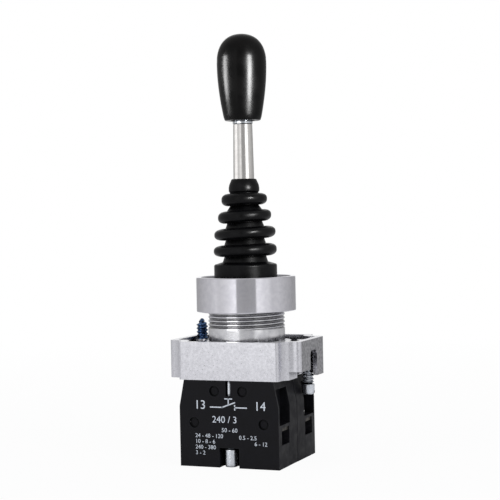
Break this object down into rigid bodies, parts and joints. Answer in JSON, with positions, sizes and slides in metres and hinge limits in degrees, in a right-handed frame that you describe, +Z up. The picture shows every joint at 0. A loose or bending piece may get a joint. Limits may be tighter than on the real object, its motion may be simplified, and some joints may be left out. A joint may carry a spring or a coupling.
{
  "type": "industrial joystick",
  "caption": "Panel-mount joystick switch: a spring-return lever with a grip and folded rubber boot tilts two ways to press the contact blocks behind its clamping collar.",
  "frame": {"origin": "centre of the panel hole, in the plane where the bezel ring's underside meets the panel's front face", "axes": "+Z up the lever at rest, away from the panel; +X along the long side of the fixing collar; -Y the side of the printed contact block face"},
  "size_m": [0.0398, 0.0298, 0.1219],
  "materials": {
    "grip": "glossy moulded black plastic",
    "grip_insert": "turned brass",
    "grip_washer": "nickel-plated steel",
    "lever_rod": "chrome-plated steel",
    "lock_pin": "plain steel",
    "rocker_hub": "die-cast zinc, as cast",
    "pivot_pin": "ground steel",
    "pivot_carrier": "glass-filled nylon",
    "rubber_boot": "satin black synthetic rubber",
    "bezel_ring": "bright chrome-plated zinc",
    "neck_housing": "chrome-plated zinc",
    "guide_plate": "glass-filled nylon",
    "push_rod": "natural acetal",
    "fixing_collar": "die-cast zinc, as cast, fine sandy skin",
    "retaining_ring": "phosphated spring steel",
    "left_pressure_screw": "blued steel",
    "right_pressure_screw": "bright zinc-plated steel",
    "block_cover": "satin black glass-filled nylon",
    "block_base": "satin black glass-filled nylon",
    "contact_plunger": "natural acetal",
    "contact_bridge": "copper alloy with silver tips",
    "bridge_spring": "spring steel",
    "plunger_spring": "spring steel",
    "fixed_contacts": "brass strip with silver tips",
    "terminal_screws": "bright zinc-plated steel",
    "clamp_plates": "bright zinc-plated steel",
    "fixing_screw": "bright zinc-plated steel"
  },
  "bodies": {
    "base": {"pivot_pin": "pivot_pin", "pivot_carrier": "pivot_carrier", "rubber_boot": "rubber_boot", "bezel_ring": "bezel_ring", "neck_housing": "neck_housing", "guide_plate": "guide_plate", "fixing_collar": "fixing_collar", "retaining_ring": "retaining_ring", "left_pressure_screw": "left_pressure_screw", "right_pressure_screw": "right_pressure_screw", "front_block_cover": "block_cover", "front_block_base": "block_base", "front_plunger_spring": "plunger_spring", "front_fixed_contacts": "fixed_contacts", "front_terminal_screws": "terminal_screws", "front_clamp_plates": "clamp_plates", "front_fixing_screw": "fixing_screw", "back_block_cover": "block_cover", "back_block_base": "block_base", "back_plunger_spring": "plunger_spring", "back_fixed_contacts": "fixed_contacts", "back_terminal_screws": "terminal_screws", "back_clamp_plates": "clamp_plates", "back_fixing_screw": "fixing_screw"},
    "lever": {"grip": "grip", "grip_insert": "grip_insert", "grip_washer": "grip_washer", "lever_rod": "lever_rod", "lock_pin": "lock_pin", "rocker_hub": "rocker_hub"},
    "front_plunger": {"front_push_rod": "push_rod", "front_contact_plunger": "contact_plunger", "front_contact_bridge": "contact_bridge", "front_bridge_spring": "bridge_spring"},
    "back_plunger": {"back_push_rod": "push_rod", "back_contact_plunger": "contact_plunger", "back_contact_bridge": "contact_bridge", "back_bridge_spring": "bridge_spring"}
  },
  "joints": [
    {"name": "lever_tilt", "type": "hinge", "parent": "base", "child": "lever", "pos_m": [0, 0, -0.006], "axis": [1, 0, 0], "range_deg": [-13, 13], "stiffness_Nm_per_rad": 1, "deforming": ["rubber_boot"]},
    {"name": "front_press", "type": "slide", "parent": "base", "child": "front_plunger", "axis": [0, 0, 1], "range_m": [-0.0017, 0.0017], "deforming": ["front_plunger_spring"]},
    {"name": "back_press", "type": "slide", "parent": "base", "child": "back_plunger", "axis": [0, 0, 1], "range_m": [-0.0017, 0.0017], "deforming": ["back_plunger_spring"]}
  ],
  "couplings": [
    {"joint": "front_press", "follows": "lever_tilt", "m_per_rad": -0.0075},
    {"joint": "back_press", "follows": "lever_tilt", "m_per_rad": 0.0075}
  ]
}
